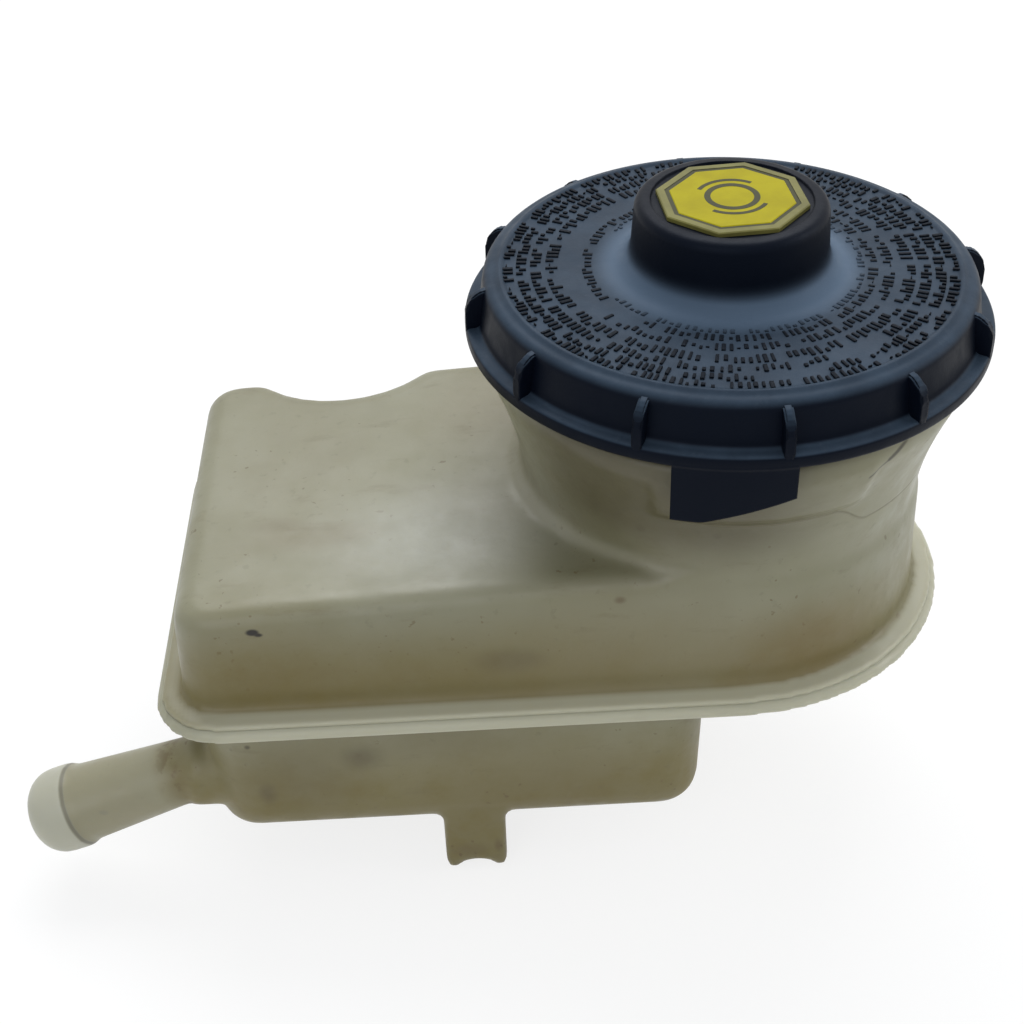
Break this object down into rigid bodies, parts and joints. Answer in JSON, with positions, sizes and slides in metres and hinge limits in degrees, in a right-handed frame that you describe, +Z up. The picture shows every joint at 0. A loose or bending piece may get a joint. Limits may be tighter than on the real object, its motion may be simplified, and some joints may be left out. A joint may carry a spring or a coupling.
{
  "type": "brake fluid reservoir",
  "caption": "Two-part moulded brake fluid tank with a round filler neck, ribbed screw cap, outlet spigots, angled hose nipple, foot tab and float level switch.",
  "frame": {"origin": "on the axis of the outlet spigot at the neck end, level with the tub's underside", "axes": "+Z up along the filler neck, +X towards the neck end, -Y towards the side with the foot tab"},
  "size_m": [0.1294, 0.066, 0.0893],
  "materials": {
    "tank_plastic": "aged natural moulding, slightly cloudy",
    "cap_plastic": "fine satin moulding",
    "badge": "printed yellow disc",
    "slip_plastic": "smooth",
    "seal_rubber": "moulded",
    "strainer_plastic": "natural moulding",
    "float_foam": "closed-cell foam",
    "magnet": "pressed ferrite",
    "switch_plastic": "moulded",
    "reed_glass": "clear capsule",
    "terminal_brass": "tinned blade"
  },
  "bodies": {
    "tank": {"upper_shell": "tank_plastic", "lower_shell": "tank_plastic", "strainer": "strainer_plastic", "switch_housing": "switch_plastic", "reed_capsule": "reed_glass", "left_terminal": "terminal_brass", "right_terminal": "terminal_brass"},
    "seal": {"bellows_seal": "seal_rubber", "slip_ring": "slip_plastic"},
    "cap": {"filler_cap": "cap_plastic", "cap_badge": "badge"},
    "float": {"float": "float_foam", "ring_magnet": "magnet"}
  },
  "joints": [
    {"name": "seal_lift", "type": "slide", "parent": "tank", "child": "seal", "axis": [0, 0, 1], "range_m": [0, 0.003]},
    {"name": "cap_turn", "type": "hinge", "parent": "seal", "child": "cap", "pos_m": [0.018, 0, 0.063], "axis": [0, 0, 1], "range_deg": [0, 120.1]},
    {"name": "float_rise", "type": "slide", "parent": "tank", "child": "float", "axis": [0, 0, 1], "range_m": [0, 0.008]}
  ],
  "couplings": [
    {"joint": "cap_turn", "follows": "seal_lift", "rad_per_m": 698.13}
  ]
}
